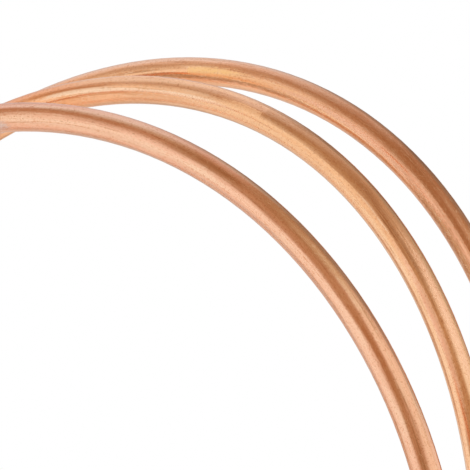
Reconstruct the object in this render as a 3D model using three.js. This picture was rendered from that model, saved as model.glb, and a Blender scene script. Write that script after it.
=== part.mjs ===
// A coil of soft copper tube, loosely opened, standing on its rim.
// Millimetres. +Z is up, the coil's axis runs along Y, and the front of the coil faces -Y.
// One piece: a hollow tube with plain square-cut ends, wound a little over three laps.
// A lap is one round of the coil, counted from the coil's foot, the line of lowest points.

import * as THREE from 'three';

// The tube.
const tube_diameter = 14;
const wall = 1;
const tube_length = 5000;

// The coil. Each lap is a little wider than the one in front of it.
const front_lap_radius = 245;
const lap_growth = 3;
const lap_spacing = 48;          // along the coil's axis, from one lap to the next at the foot
const front_tail = 0.1;          // part of a lap that runs in ahead of the first foot

// How the upper part of each lap lies, front to back. Shift moves it along the axis, in lap
// spacings. Lean is how far its top leans away, and swing turns it about the upright, in degrees.
const laps = [
  { shift: 0.12, lean: 4.5, swing: 3 },
  { shift: -0.4, lean: 11.7, swing: -1 },
  { shift: -0.7, lean: 12.6, swing: 0 },
];
// A lap opens into its own lie by the first part of the way round, and leaves it from the second.
const opened_by = 0.35;
const closing_from = 0.54;

// How finely the surface is cut into flat facets.
const sides = 16;
const steps_per_lap = 54;

const { clamp, degToRad, smootherstep } = THREE.MathUtils;

// From 0 at one lap's foot to 1 at the next one's.
function growth_at(lap) {
  const foot = clamp(Math.round(lap), 1, laps.length - 1);
  return foot - 1 + smootherstep(lap - foot, closing_from - 1, opened_by);
}

// How far a point of a lap lies along the axis from a plain helix. Any lap after the last one
// named lies like it.
function lie_at(lap, radius, across, rise) {
  const { shift, lean, swing } = laps[clamp(Math.floor(lap), 0, laps.length - 1)];
  const part = lap - Math.floor(lap);
  const opened = smootherstep(part, 0, opened_by) * (1 - smootherstep(part, closing_from, 1));
  const leaning = 2 * radius * Math.tan(degToRad(lean)) * rise ** 2;
  const swinging = across * Math.tan(degToRad(swing));
  return opened * (shift * lap_spacing + leaning + swinging);
}

// The tube's centre line, from its front end to its back end.
class CoilPath extends THREE.Curve {
  constructor(lap_count) {
    super();
    this.lap_count = lap_count;
  }

  getPoint(share, target = new THREE.Vector3()) {
    const lap = share * this.lap_count - front_tail;
    const radius = front_lap_radius + lap_growth * growth_at(lap);
    const angle = 2 * Math.PI * lap;
    const across = radius * Math.sin(angle);
    const rise = (1 - Math.cos(angle)) / 2;
    const depth = lap_spacing * (lap - laps.length / 2) + lie_at(lap, radius, across, rise);
    return target.set(across, depth, tube_diameter / 2 + 2 * radius * rise);
  }
}

function path_of_length(length) {
  const middle_radius = front_lap_radius + lap_growth * (laps.length - 1) / 2;
  const flat_laps = length / (2 * Math.PI * middle_radius);
  return new CoilPath(flat_laps * length / new CoilPath(flat_laps).getLength());
}

function tube_section() {
  const section = new THREE.Shape();
  section.absarc(0, 0, tube_diameter / 2, 0, 2 * Math.PI);
  const bore = new THREE.Path();
  bore.absarc(0, 0, tube_diameter / 2 - wall, 0, 2 * Math.PI, true);
  section.holes.push(bore);
  return section;
}

function coiled_tube() {
  const path = path_of_length(tube_length);
  const geometry = new THREE.ExtrudeGeometry(tube_section(), {
    extrudePath: path,
    steps: Math.round(steps_per_lap * path.lap_count),
    curveSegments: sides / 2,
  });
  geometry.computeBoundingBox();
  const { min, max } = geometry.boundingBox;
  const copper = new THREE.MeshStandardMaterial({ color: 0xd08a5c, roughness: 0.35, metalness: 1 });
  const tube = new THREE.Mesh(geometry, copper);
  tube.name = 'copper_tube';
  tube.position.set(-(min.x + max.x) / 2, -(min.y + max.y) / 2, -min.z);
  return tube;
}

const coil = new THREE.Group();
coil.add(coiled_tube());

export default coil;
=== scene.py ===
# A coil of soft copper tube, loosely opened, standing on its rim on a pale studio floor.
# Metres. +Z is up, the coil's axis runs along Y, and the front of the coil faces -Y.
import bisect
import math

import bmesh
import bpy
from mathutils import Matrix, Vector


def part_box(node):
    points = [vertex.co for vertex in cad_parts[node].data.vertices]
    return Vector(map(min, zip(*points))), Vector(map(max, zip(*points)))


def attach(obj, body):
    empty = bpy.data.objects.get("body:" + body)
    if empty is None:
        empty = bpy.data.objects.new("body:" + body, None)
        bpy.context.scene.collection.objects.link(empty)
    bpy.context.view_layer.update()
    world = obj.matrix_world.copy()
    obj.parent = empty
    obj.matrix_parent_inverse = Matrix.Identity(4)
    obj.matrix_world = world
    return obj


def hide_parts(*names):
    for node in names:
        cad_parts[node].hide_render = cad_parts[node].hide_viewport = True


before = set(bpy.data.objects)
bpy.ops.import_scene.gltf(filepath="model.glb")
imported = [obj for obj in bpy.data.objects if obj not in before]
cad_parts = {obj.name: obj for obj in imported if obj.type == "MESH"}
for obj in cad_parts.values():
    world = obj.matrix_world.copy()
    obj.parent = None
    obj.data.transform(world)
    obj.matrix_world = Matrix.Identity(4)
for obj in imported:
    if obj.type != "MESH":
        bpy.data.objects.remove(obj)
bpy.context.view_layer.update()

MM = 0.001

# The tube.
TUBE_DIAMETER = 14 * MM
WALL = 1 * MM
TUBE_LENGTH = 5000 * MM
CUTTER_ROUNDING = 0.3 * MM        # the wheel of the tube cutter rounds each end's outer edge
REAMED_EDGE = 0.15 * MM           # and the bore's edge is reamed clean

# The coil. Each lap is a little wider than the one in front of it. The feet of the laps stand at
# an even spacing. Above them each lap shifts along the axis by a share of that spacing, leans back
# and swings round, both in degrees.
FRONT_LAP_RADIUS = 245 * MM
LAP_GROWTH = 3 * MM
LAP_SPACING = 48 * MM
LAPS = (
    {"shift": 0.12, "lean": 4.5, "swing": 3},
    {"shift": -0.4, "lean": 11.7, "swing": -1},
    {"shift": -0.7, "lean": 12.6, "swing": 0},
)
FRONT_TAIL = 0.1                  # of a lap lies in front of the first foot
OPENED_BY = 0.35                  # of a lap: from here it lies as its row above says,
CLOSING_FROM = 0.54               # and from here it comes back to the next foot
MEASURING_STEPS = 200
FINE_STEPS_PER_PIECE = 5
A_LITTLE = 0.0001                 # of a lap, for the direction of the tube

# How finely the tube is built.
SIDES = 48
STEPS_PER_LAP = 180
EDGE_STEPS = 3                    # faces across a rounded or reamed edge
SHARP = math.radians(60)          # only the rims of the cut ends turn by more


# ---------------------------------------------------------------- the coil's centre line

def clamp(value, low, high):
    return max(low, min(high, value))


def smootherstep(value, low, high):
    part = clamp((value - low) / (high - low), 0, 1)
    return part ** 3 * (part * (part * 6 - 15) + 10)


def growth_at(lap):
    """From 0 at one lap's foot to 1 at the next one's."""
    foot = clamp(math.floor(lap + 0.5), 1, len(LAPS) - 1)
    return foot - 1 + smootherstep(lap - foot, CLOSING_FROM - 1, OPENED_BY)


def lie_at(lap, radius, across, rise):
    """How far a point of a lap lies along the axis from a plain helix."""
    lie = LAPS[clamp(math.floor(lap), 0, len(LAPS) - 1)]
    part = lap - math.floor(lap)
    opened = smootherstep(part, 0, OPENED_BY) * (1 - smootherstep(part, CLOSING_FROM, 1))
    leaning = 2 * radius * math.tan(math.radians(lie["lean"])) * rise ** 2
    swinging = across * math.tan(math.radians(lie["swing"]))
    return opened * (lie["shift"] * LAP_SPACING + leaning + swinging)


def coil_point(lap):
    radius = FRONT_LAP_RADIUS + LAP_GROWTH * growth_at(lap)
    angle = 2 * math.pi * lap
    across = radius * math.sin(angle)
    rise = (1 - math.cos(angle)) / 2
    depth = LAP_SPACING * (lap - len(LAPS) / 2) + lie_at(lap, radius, across, rise)
    return Vector((across, depth, TUBE_DIAMETER / 2 + 2 * radius * rise))


def coil_route(lap_count, steps):
    return [coil_point(lap_count * step / steps - FRONT_TAIL) for step in range(steps + 1)]


def length_of(route):
    return sum((there - here).length for here, there in zip(route, route[1:]))


def laps_of_length(length):
    middle_radius = FRONT_LAP_RADIUS + LAP_GROWTH * (len(LAPS) - 1) / 2
    flat_laps = length / (2 * math.pi * middle_radius)
    return flat_laps * length / length_of(coil_route(flat_laps, MEASURING_STEPS))


def evenly_spaced(lap_count, pieces):
    """Laps at equal lengths of tube from one end to the other, and the length of one piece."""
    fine = pieces * FINE_STEPS_PER_PIECE
    route = coil_route(lap_count, fine)
    travelled = [0]
    for here, there in zip(route, route[1:]):
        travelled.append(travelled[-1] + (there - here).length)
    piece = travelled[-1] / pieces
    spots = [0]
    for index in range(1, pieces):
        after = bisect.bisect_left(travelled, index * piece)
        part = (index * piece - travelled[after - 1]) / (travelled[after] - travelled[after - 1])
        spots.append((after - 1 + part) / fine)
    spots.append(1)
    return [lap_count * spot - FRONT_TAIL for spot in spots], piece


def station_at(lap):
    """A frame on the coil: X points away from the coil's axis, and Z along the tube."""
    point = coil_point(lap)
    along = coil_point(lap + A_LITTLE) - coil_point(lap - A_LITTLE)
    out = Vector((math.sin(2 * math.pi * lap), 0, -math.cos(2 * math.pi * lap)))
    side = along.cross(out).normalized()
    along.normalize()
    turn = Matrix((side.cross(along), side, along)).transposed().to_4x4()
    return Matrix.Translation(point) @ turn


# ---------------------------------------------------------------- the tube

def finished_object(name, mesh):
    """Ends the modelling of a mesh, and puts it in the scene as an object of this name."""
    made = bpy.data.meshes.new(name)
    mesh.to_mesh(made)
    mesh.free()
    holder = bpy.data.objects.new(name, made)
    bpy.context.scene.collection.objects.link(holder)
    return holder


def straight_tube(mesh, length, pieces):
    """The tube as it was drawn: straight up Z, its wall turned round the bore, its cut ends
    softened."""
    outside = TUBE_DIAMETER / 2
    bore = outside - WALL
    places = ((outside, 0, 0), (outside, 0, length), (bore, 0, length), (bore, 0, 0))
    corners = [mesh.verts.new(place) for place in places]
    for here, there in zip(corners, corners[1:] + corners[:1]):
        mesh.edges.new((here, there))
    bmesh.ops.spin(
        mesh, geom=mesh.verts[:] + mesh.edges[:], axis=(0, 0, 1), cent=(0, 0, 0),
        angle=math.tau, steps=SIDES, use_merge=True,
    )
    lengthwise = [edge for edge in mesh.edges if edge.calc_length() > length / 2]
    bmesh.ops.subdivide_edges(mesh, edges=lengthwise, cuts=pieces - 1, use_grid_fill=True)
    middle_of_wall = outside - WALL / 2
    for is_outer, size in ((True, CUTTER_ROUNDING), (False, REAMED_EDGE)):
        rims = [
            edge for edge in mesh.edges
            if edge.calc_face_angle() > SHARP
            and (edge.verts[0].co.xy.length > middle_of_wall) == is_outer
        ]
        bmesh.ops.bevel(
            mesh, geom=rims, offset=size, segments=EDGE_STEPS, profile=0.5, affect="EDGES",
            material=-1,
        )
    bmesh.ops.recalc_face_normals(mesh, faces=mesh.faces)


def wound_tube(name):
    """The straight tube wound into the coil. The vertex attribute `straight` keeps each point's
    place on the straight tube, with Z along it."""
    lap_count = laps_of_length(TUBE_LENGTH)
    pieces = round(STEPS_PER_LAP * lap_count)
    laps, piece = evenly_spaced(lap_count, pieces)
    stations = [station_at(lap) for lap in laps]
    mesh = bmesh.new()
    straight_tube(mesh, piece * pieces, pieces)
    straight = mesh.verts.layers.float_vector.new("straight")
    for vert in mesh.verts:
        vert[straight] = vert.co
        index = clamp(round(vert.co.z / piece), 0, pieces)
        vert.co = stations[index] @ (vert.co - Vector((0, 0, index * piece)))
    for face in mesh.faces:
        face.smooth = True
    return finished_object(name, mesh)


def settle_in(tube, node):
    """Moves the tube's mesh to where the CAD node is: centred on it, and on the same floor."""
    low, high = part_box(node)
    points = [vert.co for vert in tube.data.vertices]
    own_low = Vector([min(point[axis] for point in points) for axis in range(3)])
    own_high = Vector([max(point[axis] for point in points) for axis in range(3)])
    move = (low + high - own_low - own_high) / 2
    move.z = low.z - own_low.z
    tube.data.transform(Matrix.Translation(move))


# ---------------------------------------------------------------- shader maths

SEED_STEP = (3.7, 1.9, 5.3)       # how far each seed moves a noise from the one before it


class Wire:
    """A socket in a node tree, with the arithmetic of plain numbers."""

    def __init__(self, tree, socket):
        self.tree = tree
        self.socket = socket

    def add(self, kind, settings, inputs, output=0):
        """A new node of this kind, with its settings and its sockets' values or wires."""
        node = self.tree.nodes.new(kind)
        for name, value in settings.items():
            if name == "stops":
                set_stops(node.color_ramp, value)
            else:
                setattr(node, name, value)
        for name, value in inputs.items():
            if isinstance(value, Wire):
                self.tree.links.new(value.socket, node.inputs[name])
            else:
                node.inputs[name].default_value = value
        return Wire(self.tree, node.outputs[output]) if node.outputs else None

    def maths(self, operation, *values):
        return self.add("ShaderNodeMath", {"operation": operation}, dict(enumerate(values)))

    def __add__(self, other):
        return self.maths("ADD", self, other)

    def __sub__(self, other):
        return self.maths("SUBTRACT", self, other)

    def __rsub__(self, other):
        return self.maths("SUBTRACT", other, self)

    def __mul__(self, other):
        return self.maths("MULTIPLY", self, other)

    __radd__ = __add__
    __rmul__ = __mul__


def set_stops(ramp, stops):
    """Fills a colour ramp, which starts with two stops of its own."""
    for index, (place, colour) in enumerate(stops):
        stop = ramp.elements[index] if index < 2 else ramp.elements.new(place)
        stop.position = place
        stop.color = colour


def start_tree(owner):
    """Clears the owner's node tree, and gives a wire to build from."""
    owner.use_nodes = True
    owner.node_tree.nodes.clear()
    return Wire(owner.node_tree, None)


def grey(level):
    return (level, level, level, 1)


def mix_colour(wire, share, first, second):
    settings = {"data_type": "RGBA"}
    return wire.add("ShaderNodeMix", settings, {0: share, 6: first, 7: second}, output=2)


def length_of_vector(wire, vector):
    settings = {"operation": "LENGTH"}
    return wire.add("ShaderNodeVectorMath", settings, {0: vector}, output="Value")


def smooth_range(wire, value, low, high):
    """0 below low and 1 above high, with a soft change between them."""
    settings = {"interpolation_type": "SMOOTHSTEP"}
    inputs = {"Value": value, "From Min": low, "From Max": high, "To Min": 0, "To Max": 1}
    return wire.add("ShaderNodeMapRange", settings, inputs)


def noise(wire, place, size, along, seed, detail=2, rough=0.5):
    """Noise in cells of this size round the tube, and this many times as long along it."""
    moved = tuple(seed * step for step in SEED_STEP)
    scale = (1 / size, 1 / size, 1 / (size * along))
    placed = wire.add("ShaderNodeMapping", {}, {"Vector": place, "Location": moved, "Scale": scale})
    inputs = {"Vector": placed, "Scale": 1, "Detail": detail, "Roughness": rough}
    return wire.add("ShaderNodeTexNoise", {}, inputs)


# ---------------------------------------------------------------- copper

# The copper's own colour from the front end to the back end, by the share of the tube.
COPPER_ALONG = (
    (0.00, (0.92, 0.52, 0.34, 1)),
    (0.17, (0.965, 0.54, 0.355, 1)),
    (0.19, (0.93, 0.515, 0.335, 1)),
    (0.38, (1.00, 0.57, 0.345, 1)),
    (0.46, (1.00, 0.60, 0.35, 1)),
    (0.495, (1.00, 0.60, 0.35, 1)),
    (0.512, (1.00, 0.48, 0.235, 1)),
    (0.66, (0.95, 0.505, 0.285, 1)),
    (0.78, (0.96, 0.48, 0.29, 1)),
    (0.82, (1.00, 0.57, 0.32, 1)),
    (0.84, (0.97, 0.535, 0.29, 1)),
    (1.00, (0.92, 0.52, 0.33, 1)),
)

# The films and marks on it, and the tones of its painted highlights, painted reflections and painted shade.
BROWN = (0.56, 0.27, 0.125, 1)
UMBER = (0.36, 0.15, 0.06, 1)
RUDDY = (0.66, 0.25, 0.09, 1)
OLIVE = (0.66, 0.36, 0.17, 1)
PALE = (1.0, 0.70, 0.48, 1)
GOLDEN = (1.0, 0.62, 0.34, 1)
GREYED = (0.70, 0.53, 0.46, 1)
# A painted shade for the underside of the front lap.
UNDERSIDE_SHADE = (0.70, 0.45, 0.33, 1)
FRECKLE = (0.62, 0.27, 0.12, 1)
AMBER = (0.98, 0.50, 0.22, 1)
PEACH = (1.0, 0.62, 0.42, 1)
BRIGHT_GOLD = (1.0, 0.66, 0.30, 1)
EDGE_ON = (0.76, 0.73, 0.71, 1)   # the oxide film dims the metal where it is seen edge on
BORE_DULLNESS = 0.6

# What covers the copper all along. A pattern shows from one value of its noise, is full by
# another, and covers what lies under it by a share.
FLUSH = {"tone": PALE, "from": 0.5, "full": 0.75, "cover": 0.5}
TARNISH = {"tone": BROWN, "from": 0.51, "full": 0.66, "cover": 0.9}
LINES = {"tone": RUDDY, "from": 0.54, "full": 0.68, "cover": 0.7}
SPOTS = {"tone": FRECKLE, "from": 0.52, "full": 0.74, "cover": 0.85}
SCRATCHES = {"tone": PALE, "from": 0.6, "full": 0.72, "cover": 0.6}
SCUFFS = {"from": 0.66, "full": 0.76}
SCUFF_SLANTS = ((38, 12), (-35, 15))    # degrees from straight along the tube, and the seed
STREAKS_IN_TARNISH = 0.5          # shares of one noise in a pattern made of two
MOTTLE_IN_LINES = 0.4
HAIRLINES_IN_RELIEF = 0.3
COLOUR_WANDERS = 0.02             # of the tube's length

# How the surface shines. The waves are left by winding, and the lines by the drawing die.
POLISH = 0.16
ROUGHER_IN_LINES = 0.08
ROUGHER_IN_TARNISH = 0.08
ROUGHER_WHERE_MATT = 0.4
WAVE_DEPTH = 0.45 * MM
LINE_DEPTH = 0.03 * MM
LINE_STRENGTH = 0.3

# How a mark ends. It fades between two shares of the way from its middle to its edge, and the
# streaks and the mottle fray that edge. Where it is cut off, the cut is this soft.
MARK_FADES_FROM = 0.55
MARK_GONE_BY = 1.35
FRAYED_BY_STREAKS = 1.6
FRAYED_BY_MOTTLE = 0.8
MARK_CUT = 1.5 * MM
THINNEST_MARK = 0.5               # of a mark's strength, where the streaks leave least of it

# Single marks. Most of them are painted highlights, painted reflections and painted shade laid into
# the copper's colour; the rest are stains and scuffs. Each lies so many metres along the tube and
# so many degrees round it, where 0 faces away from the coil's axis and -90 faces the front. Its
# length and width are in millimetres, from edge to edge. A matt one scatters the light instead of
# mirroring it; on a painted highlight this spreads the highlight into a broad patch. One that
# begins or stops at a place on the tube is cut off there.
MARKS_AND_PAINTED_LIGHT = (
    # The front lap, on top: pale streaks, with reddish, brown and olive lines.
    {"tone": RUDDY, "along": 0.935, "round": -56, "length": 110, "width": 2.2, "strength": 0.6},
    {"tone": RUDDY, "along": 0.935, "round": -78, "length": 50, "width": 2.6, "strength": 0.16},
    {"tone": PALE, "along": 0.892, "round": -38, "length": 110, "width": 2.4, "strength": 0.7},
    {"tone": PALE, "along": 0.875, "round": -24, "length": 70, "width": 4, "strength": 0.5},
    {"tone": BROWN, "along": 0.832, "round": -53, "length": 45, "width": 4, "strength": 0.5},
    {"tone": OLIVE, "along": 0.77, "round": -25, "length": 80, "width": 6, "strength": 0.7},
    {"tone": RUDDY, "along": 0.70, "round": -59, "length": 50, "width": 2, "strength": 0.5},
    {"tone": PALE, "along": 0.815, "round": -5, "length": 50, "width": 2.4, "strength": 0.6},
    # In front and underneath: painted highlights in pale and peach, painted shade along the underside, and
    # one greyed patch.
    {"tone": PALE, "along": 0.829, "round": -91, "length": 26, "width": 2.6, "strength": 0.6},
    {"tone": PALE, "along": 0.945, "round": -88, "length": 26, "width": 4, "strength": 0.3},
    {"tone": PEACH, "along": 0.765, "round": -88, "length": 170, "width": 3, "strength": 0.5, "matt": 0.3},
    {"tone": UNDERSIDE_SHADE, "along": 0.755, "round": -118, "length": 180, "width": 2.2, "strength": 0.75},
    {"tone": UNDERSIDE_SHADE, "along": 0.875, "round": -142, "length": 160, "width": 4, "strength": 0.6},
    {"tone": PALE, "along": 0.895, "round": -100, "length": 110, "width": 4, "strength": 0.4},
    {"tone": GREYED, "along": 0.957, "round": -122, "length": 16, "width": 6, "strength": 0.9},
    # The middle lap, near its top: painted highlights in pale and golden streaks, between thin red and
    # brown lines that are painted dark reflections.
    {"tone": RUDDY, "along": 2.548, "round": -62, "length": 50, "width": 1.8, "strength": 0.7},
    {"tone": PALE, "along": 2.541, "round": -75, "length": 44, "width": 2.2, "strength": 0.9},
    {"tone": PALE, "along": 2.517, "round": -84, "length": 46, "width": 2.2, "strength": 0.9},
    {"tone": GOLDEN, "along": 2.49, "round": -18, "length": 120, "width": 3, "strength": 0.7, "matt": 0.3},
    {"tone": GOLDEN, "along": 2.50, "round": -38, "length": 90, "width": 3, "strength": 0.8},
    {"tone": BROWN, "along": 2.50, "round": -54, "length": 110, "width": 1, "strength": 0.2},
    {"tone": RUDDY, "along": 2.53, "round": -97, "length": 70, "width": 1.4, "strength": 0.6},
    {"tone": RUDDY, "along": 2.553, "round": -114, "length": 60, "width": 5, "strength": 0.22},
    {"tone": RUDDY, "along": 2.485, "round": -101, "length": 50, "width": 2.4, "strength": 0.3},
    {"tone": BROWN, "along": 2.486, "round": -123, "length": 60, "width": 2.6, "strength": 0.3},
    {"tone": PALE, "along": 2.47, "round": -86, "length": 70, "width": 2, "strength": 0.9, "matt": 0.2},
    # Down its right side: a golden flush with a sharp edge and olive film below it, painted golden and
    # peach highlights, and painted brown shade along the underside.
    {"tone": GOLDEN, "along": 2.428, "round": -61, "length": 30, "width": 4, "strength": 0.9,
     "matt": 0.35, "begins": 2.419},
    {"tone": OLIVE, "along": 2.38, "round": -38, "length": 100, "width": 7, "strength": 0.55,
     "stops": 2.419},
    {"tone": BROWN, "along": 2.404, "round": -58, "length": 26, "width": 2.6, "strength": 0.4},
    {"tone": GOLDEN, "along": 2.395, "round": -81, "length": 90, "width": 2.6, "strength": 0.9,
     "matt": 0.45},
    {"tone": GOLDEN, "along": 2.33, "round": -79, "length": 90, "width": 2.8, "strength": 0.9,
     "matt": 0.45},
    {"tone": PEACH, "along": 2.26, "round": -75, "length": 90, "width": 3, "strength": 0.9, "matt": 0.4},
    {"tone": GOLDEN, "along": 2.39, "round": -103, "length": 130, "width": 4, "strength": 0.6, "matt": 0.4},
    {"tone": PEACH, "along": 2.262, "round": -22, "length": 90, "width": 5, "strength": 0.9, "matt": 0.2},
    {"tone": GOLDEN, "along": 2.28, "round": 2, "length": 90, "width": 3, "strength": 0.6, "matt": 0.15},
    {"tone": BROWN, "along": 2.27, "round": -115, "length": 140, "width": 2, "strength": 0.8},
    {"tone": BROWN, "along": 2.46, "round": -150, "length": 170, "width": 2.6, "strength": 0.5},
    {"tone": GOLDEN, "along": 2.372, "round": -82, "length": 120, "width": 8, "strength": 0.4},
    # Small scuffs there, where the lap was handled.
    {"tone": PALE, "along": 2.295, "round": -48, "length": 60, "width": 2.6, "strength": 0.35},
    {"tone": PALE, "along": 2.335, "round": -66, "length": 14, "width": 1, "strength": 0.7, "matt": 0.15},
    {"tone": PALE, "along": 2.322, "round": -70, "length": 12, "width": 0.9, "strength": 0.7, "matt": 0.15},
    {"tone": PALE, "along": 2.29, "round": -77, "length": 9, "width": 1.2, "strength": 0.7, "matt": 0.15},
    # The back lap, near its top: pale streaks, and a bright gold patch that is partly a painted highlight,
    # with painted peach and amber highlights and painted dark reflection lines in umber, brown and red
    # under it.
    {"tone": PALE, "along": 4.125, "round": -27, "length": 120, "width": 3.2, "strength": 0.7},
    {"tone": PALE, "along": 4.05, "round": -12, "length": 130, "width": 2.8, "strength": 0.6},
    {"tone": BROWN, "along": 4.12, "round": -68, "length": 60, "width": 4, "strength": 0.3,
     "begins": 4.090},
    {"tone": BRIGHT_GOLD, "along": 4.074, "round": -82, "length": 44, "width": 5, "strength": 0.85,
     "matt": 0.6, "stops": 4.090},
    {"tone": GOLDEN, "along": 4.03, "round": -86, "length": 70, "width": 3, "strength": 0.9, "matt": 0.6},
    {"tone": PEACH, "along": 4.0, "round": -90, "length": 60, "width": 3, "strength": 0.8, "matt": 0.5},
    {"tone": AMBER, "along": 4.072, "round": -100, "length": 70, "width": 2.4, "strength": 0.8},
    {"tone": UMBER, "along": 4.112, "round": -96, "length": 36, "width": 1.8, "strength": 0.5, "matt": 0.2},
    {"tone": UMBER, "along": 4.096, "round": -107, "length": 34, "width": 2, "strength": 0.8},
    {"tone": UMBER, "along": 4.068, "round": -109, "length": 50, "width": 2, "strength": 0.65},
    {"tone": BROWN, "along": 4.03, "round": -110, "length": 50, "width": 2.2, "strength": 0.9},
    {"tone": RUDDY, "along": 4.09, "round": -117, "length": 40, "width": 2.4, "strength": 0.3},
    {"tone": RUDDY, "along": 4.18, "round": -118, "length": 50, "width": 3, "strength": 0.3},
    # Down its right side: painted peach and golden highlights in front, with painted brown shade above and
    # below them.
    {"tone": GOLDEN, "along": 3.985, "round": -100, "length": 80, "width": 2.2, "strength": 0.8,
     "matt": 0.2},
    {"tone": RUDDY, "along": 3.965, "round": -117, "length": 120, "width": 2, "strength": 0.9},
    {"tone": PEACH, "along": 3.97, "round": -91, "length": 80, "width": 3.2, "strength": 0.9, "matt": 0.5},
    {"tone": PEACH, "along": 3.89, "round": -76, "length": 100, "width": 4, "strength": 0.9, "matt": 0.65},
    {"tone": BROWN, "along": 3.88, "round": -106, "length": 110, "width": 6, "strength": 0.9},
    {"tone": UMBER, "along": 3.885, "round": -112, "length": 90, "width": 2.6, "strength": 0.5},
    {"tone": BROWN, "along": 3.91, "round": -35, "length": 150, "width": 10, "strength": 0.6},
    {"tone": BROWN, "along": 4.006, "round": -39, "length": 90, "width": 9, "strength": 0.36},
)


def mark_mask(wire, place, length_along, fray, mark):
    """The mark's strength inside it, fading out through frayed edges."""
    turn = math.radians(mark["round"])
    radius = TUBE_DIAMETER / 2
    middle = (radius * math.cos(turn), radius * math.sin(turn), mark["along"])
    half = (mark["width"] * MM / 2, mark["width"] * MM / 2, mark["length"] * MM / 2)
    settings = {"vector_type": "TEXTURE"}
    inputs = {"Vector": place, "Location": middle, "Scale": half}
    near = wire.add("ShaderNodeMapping", settings, inputs)
    reach = length_of_vector(wire, near)
    inside = 1 - smooth_range(wire, reach + fray, MARK_FADES_FROM, MARK_GONE_BY)
    mask = inside * mark["strength"]
    if "stops" in mark:
        past = smooth_range(wire, length_along, mark["stops"] - MARK_CUT, mark["stops"])
        mask = mask * (1 - past)
    if "begins" in mark:
        begun = smooth_range(wire, length_along, mark["begins"], mark["begins"] + MARK_CUT)
        mask = mask * begun
    return mask


def covering(wire, pattern, layer):
    """From 0 to 1, where the layer lies by its pattern."""
    return smooth_range(wire, pattern, layer["from"], layer["full"])


def lay_on(wire, covered, layer, colour):
    """The colour with the layer over it, where it lies."""
    return mix_colour(wire, covered * layer["cover"], colour, layer["tone"])


def blended(first, second, share):
    """Two patterns as one, with this share of the second."""
    return first * (1 - share) + second * share


def handling_scuffs(wire, place, length_along):
    """Short light scratches that cross the tube both ways, drawn on the tube unrolled flat."""
    outward = wire.add("ShaderNodeSeparateXYZ", {}, {"Vector": place})
    sideways = Wire(wire.tree, outward.socket.node.outputs["Y"])
    around = wire.maths("ARCTAN2", sideways, outward) * (TUBE_DIAMETER / 2)
    unrolled = wire.add("ShaderNodeCombineXYZ", {}, {"X": around, "Z": length_along})
    masks = []
    for slant, seed in SCUFF_SLANTS:
        settings = {"vector_type": "TEXTURE"}
        inputs = {"Vector": unrolled, "Rotation": (0, math.radians(slant), 0)}
        slanted = wire.add("ShaderNodeMapping", settings, inputs)
        scratches = noise(wire, slanted, 0.3 * MM, 16, seed, detail=1)
        masks.append(covering(wire, scratches, SCUFFS))
    return wire.maths("MAXIMUM", *masks)


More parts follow.
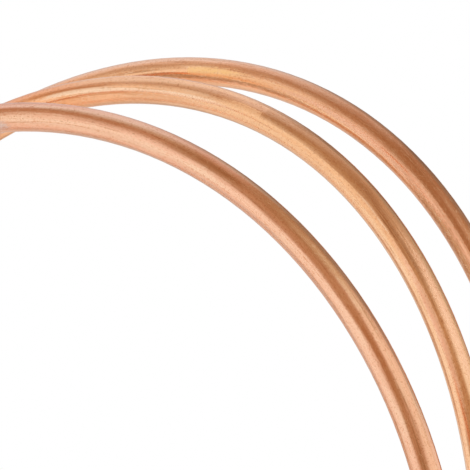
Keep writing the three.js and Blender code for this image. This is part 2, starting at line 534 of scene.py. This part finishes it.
def satin_copper():
    """Drawn copper: tarnish in lengthwise streaks and patches, draw lines and fine scratches, and single
    marks that are mostly painted highlights, painted reflections and painted shade.
    """
    material = bpy.data.materials.new("satin_drawn_copper")
    wire = start_tree(material)
    place = wire.add("ShaderNodeAttribute", {"attribute_name": "straight"}, {}, output="Vector")
    length_along = wire.add("ShaderNodeSeparateXYZ", {}, {"Vector": place}, output="Z")

    patches = noise(wire, place, 8 * MM, 8, seed=1, detail=3, rough=0.55)
    streaks = noise(wire, place, 1.2 * MM, 50, seed=2, detail=3, rough=0.6)
    flushes = noise(wire, place, 5 * MM, 6, seed=3)
    draw_lines = noise(wire, place, 0.45 * MM, 120, seed=4, detail=3, rough=0.6)
    hairlines = noise(wire, place, 0.16 * MM, 40, seed=5, detail=1)
    mottle = noise(wire, place, 0.9 * MM, 2, seed=6)
    waves = noise(wire, place, 4.5 * MM, 9, seed=7, detail=1)
    grain = noise(wire, place, 1.1 * MM, 0.8, seed=8, detail=3, rough=0.75)
    scratches = noise(wire, place, 0.3 * MM, 14, seed=9, detail=1)
    scuffs = handling_scuffs(wire, place, length_along)

    share = length_along * (1 / TUBE_LENGTH) + (flushes - 0.5) * COLOUR_WANDERS
    colour = wire.add("ShaderNodeValToRGB", {"stops": COPPER_ALONG}, {"Fac": share})
    flush = covering(wire, flushes, FLUSH)
    colour = lay_on(wire, flush, FLUSH, colour)
    tarnish = covering(wire, blended(patches, streaks, STREAKS_IN_TARNISH), TARNISH)
    colour = lay_on(wire, tarnish, TARNISH, colour)

    fray = (streaks - 0.5) * FRAYED_BY_STREAKS + (mottle - 0.5) * FRAYED_BY_MOTTLE
    streaked_strength = THINNEST_MARK + streaks
    shine = 1
    # Lays each mark's colour over the copper: most marks are painted highlights, painted reflections and
    # painted shade, the rest stains and scuffs.
    for mark in MARKS_AND_PAINTED_LIGHT:
        mask = mark_mask(wire, place, length_along, fray, mark) * streaked_strength
        colour = mix_colour(wire, mask, colour, mark["tone"])
        if "matt" in mark:
            shine = (1 - mask * mark["matt"]) * shine

    lines = covering(wire, blended(draw_lines, mottle, MOTTLE_IN_LINES), LINES)
    colour = lay_on(wire, lines, LINES, colour)
    spots = covering(wire, grain, SPOTS)
    colour = lay_on(wire, spots, SPOTS, colour)
    bright = wire.maths("MAXIMUM", covering(wire, scratches, SCRATCHES), scuffs)
    colour = lay_on(wire, bright, SCRATCHES, colour)

    # The bore keeps the dull skin that it came out of the furnace with.
    flat = wire.add("ShaderNodeVectorMath", {"operation": "MULTIPLY"}, {0: place, 1: (1, 1, 0)})
    bore = TUBE_DIAMETER / 2 - WALL
    outside = smooth_range(wire, length_of_vector(wire, flat), bore, bore + REAMED_EDGE)
    shine = (1 - (1 - outside) * BORE_DULLNESS) * shine

    roughness = POLISH + draw_lines * ROUGHER_IN_LINES + tarnish * ROUGHER_IN_TARNISH
    roughness = roughness + (1 - shine) * ROUGHER_WHERE_MATT
    inputs = {"Height": waves, "Strength": 1.0, "Distance": WAVE_DEPTH}
    wavy = wire.add("ShaderNodeBump", {}, inputs)
    relief = blended(draw_lines, hairlines, HAIRLINES_IN_RELIEF)
    inputs = {"Height": relief, "Strength": LINE_STRENGTH, "Distance": LINE_DEPTH, "Normal": wavy}
    normal = wire.add("ShaderNodeBump", {}, inputs)
    finish = {
        "Base Color": colour, "Metallic": shine, "Roughness": roughness, "Normal": normal,
        "Specular Tint": EDGE_ON,
    }
    surface = wire.add("ShaderNodeBsdfPrincipled", {}, finish)
    wire.add("ShaderNodeOutputMaterial", {}, {"Surface": surface})
    return material


# ---------------------------------------------------------------- studio

FLOOR_RADIUS = 2.2
FLOOR_SIDES = 128
FLOOR_COLOUR = (0.88, 0.91, 0.94, 1)
FLOOR_CLEAR_FROM = 0.8            # the floor's own shading melts into pure white between these
FLOOR_CLEAR_BY = 1.65

# The walls are white up to the height where the tent's ceiling begins to darken. Soft panels
# hang above that, each round the way it faces. Every angle is in degrees. A panel has its full
# colour within one angle of that way, and its soft edge ends at another.
WALLS_WHITE_TO = 4
WALLS_END = 10
CEILING = (0.51, 0.34, 0.225, 1)
CEILING_BEGINS = 7
CEILING_FULL = 66
PANELS = (
    {"azimuth": -122, "elevation": 35, "full": 4, "ends": 51, "colour": (0.9, 0.875, 0.98, 1)},
    {"azimuth": 91, "elevation": 35, "full": 20, "ends": 57, "colour": (0.95, 0.92, 0.85, 1)},
    {"azimuth": 181, "elevation": 30, "full": 2, "ends": 28, "colour": (0.41, 0.36, 0.31, 1)},
    {"azimuth": 15, "elevation": 34, "full": 1, "ends": 48, "colour": (0.52, 0.35, 0.22, 1)},
    {"azimuth": -166, "elevation": 11, "full": 2, "ends": 21, "colour": (0.24, 0.2, 0.17, 1)},
)

LAMP_SIZE = 1.6
LAMP_WATTS = 30
LAMP_PLACE = (0.5, -0.5, 2.4)


def seen_directly(wire):
    """1 for the camera, and for what metal and glass show; 0 for the light that falls on things."""
    straight = wire.add("ShaderNodeLightPath", {}, {}, output="Is Camera Ray")
    node = straight.socket.node
    mirrored = Wire(wire.tree, node.outputs["Is Glossy Ray"])
    through = Wire(wire.tree, node.outputs["Is Transmission Ray"])
    return wire.maths("MAXIMUM", wire.maths("MAXIMUM", straight, mirrored), through)


def studio_floor():
    """A pale disc that takes the coil's shadow and melts into pure white further out."""
    mesh = bmesh.new()
    bmesh.ops.create_circle(mesh, cap_ends=True, segments=FLOOR_SIDES, radius=FLOOR_RADIUS)
    floor = finished_object("floor", mesh)
    material = bpy.data.materials.new("pale_floor")
    wire = start_tree(material)
    place = wire.add("ShaderNodeTexCoord", {}, {}, output="Object")
    far_out = smooth_range(wire, length_of_vector(wire, place), FLOOR_CLEAR_FROM, FLOOR_CLEAR_BY)
    clear = far_out * seen_directly(wire)
    matt = wire.add("ShaderNodeBsdfDiffuse", {}, {"Color": FLOOR_COLOUR})
    white = wire.add("ShaderNodeEmission", {}, {"Color": grey(1), "Strength": 1.0})
    surface = wire.add("ShaderNodeMixShader", {}, {0: clear, 1: matt, 2: white})
    wire.add("ShaderNodeOutputMaterial", {}, {"Surface": surface})
    floor.data.materials.append(material)


def direction(azimuth, elevation):
    """A direction of length 1. Azimuth 0 is the front of the coil, -Y, and 90 its right, +X."""
    across, up = math.radians(azimuth), math.radians(elevation)
    return (math.sin(across) * math.cos(up), -math.cos(across) * math.cos(up), math.sin(up))


def height_of(elevation):
    """The upward part of a direction of length 1."""
    return math.sin(math.radians(elevation))


def studio_light():
    """The light tent: white walls, a darker warm ceiling, and the soft panels over both."""
    world = bpy.data.worlds.new("studio")
    bpy.context.scene.world = world
    wire = start_tree(world)
    toward = wire.add("ShaderNodeTexCoord", {}, {}, output="Generated")
    height = wire.add("ShaderNodeSeparateXYZ", {}, {"Vector": toward}, output="Z")
    ceiling = smooth_range(wire, height, height_of(CEILING_BEGINS), height_of(CEILING_FULL))
    colour = mix_colour(wire, ceiling, grey(1), CEILING)
    for panel in PANELS:
        settings = {"operation": "DOT_PRODUCT"}
        inputs = {0: toward, 1: direction(panel["azimuth"], panel["elevation"])}
        facing = wire.add("ShaderNodeVectorMath", settings, inputs, output="Value")
        far, near = (math.cos(math.radians(panel[edge])) for edge in ("ends", "full"))
        colour = mix_colour(wire, smooth_range(wire, facing, far, near), colour, panel["colour"])
    above = smooth_range(wire, height, height_of(WALLS_WHITE_TO), height_of(WALLS_END))
    colour = mix_colour(wire, above, grey(1), colour)
    light = wire.add("ShaderNodeBackground", {}, {"Color": colour, "Strength": 1.0})
    wire.add("ShaderNodeOutputWorld", {}, {"Surface": light})


def overhead_lamp():
    """A softbox over the coil, aimed at the floor under it. The copper doesn't mirror it."""
    lamp = bpy.data.lights.new("overhead_softbox", "AREA")
    lamp.shape = "DISK"
    lamp.size = LAMP_SIZE
    lamp.energy = LAMP_WATTS
    holder = bpy.data.objects.new("overhead_softbox", lamp)
    holder.location = LAMP_PLACE
    holder.rotation_mode = "QUATERNION"
    holder.rotation_quaternion = Vector(holder.location).to_track_quat("Z", "Y")
    holder.visible_glossy = False
    bpy.context.scene.collection.objects.link(holder)


# ---------------------------------------------------------------- camera

CAMERA_AZIMUTH = 35.05
CAMERA_ELEVATION = 7.7
CAMERA_DISTANCE = 1896 * MM
AIM_POINT = Vector((87, 0, 444.2)) * MM
PICTURE_PIXELS = 470
FOCAL_PIXELS = 4017               # the lens's focal length, counted in the picture's pixels
SENSOR_WIDTH = 36


def place_camera():
    """A long lens from the front right, close in on the upper right part of the coil."""
    camera = bpy.data.cameras.new("camera")
    camera.sensor_width = SENSOR_WIDTH
    camera.lens = camera.sensor_width * FOCAL_PIXELS / PICTURE_PIXELS
    holder = bpy.data.objects.new("camera", camera)
    back = Vector(direction(CAMERA_AZIMUTH, CAMERA_ELEVATION))
    holder.location = AIM_POINT + back * CAMERA_DISTANCE
    holder.rotation_mode = "QUATERNION"
    holder.rotation_quaternion = back.to_track_quat("Z", "Y")
    bpy.context.scene.collection.objects.link(holder)
    bpy.context.scene.camera = holder


# ---------------------------------------------------------------- the whole scene

def build():
    tube = wound_tube("drawn_copper_tube")
    settle_in(tube, "copper_tube")
    tube.data.materials.append(satin_copper())
    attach(tube, "root")
    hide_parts("copper_tube")
    studio_floor()
    studio_light()
    overhead_lamp()
    place_camera()
    bpy.context.scene.view_settings.view_transform = "Standard"


build()
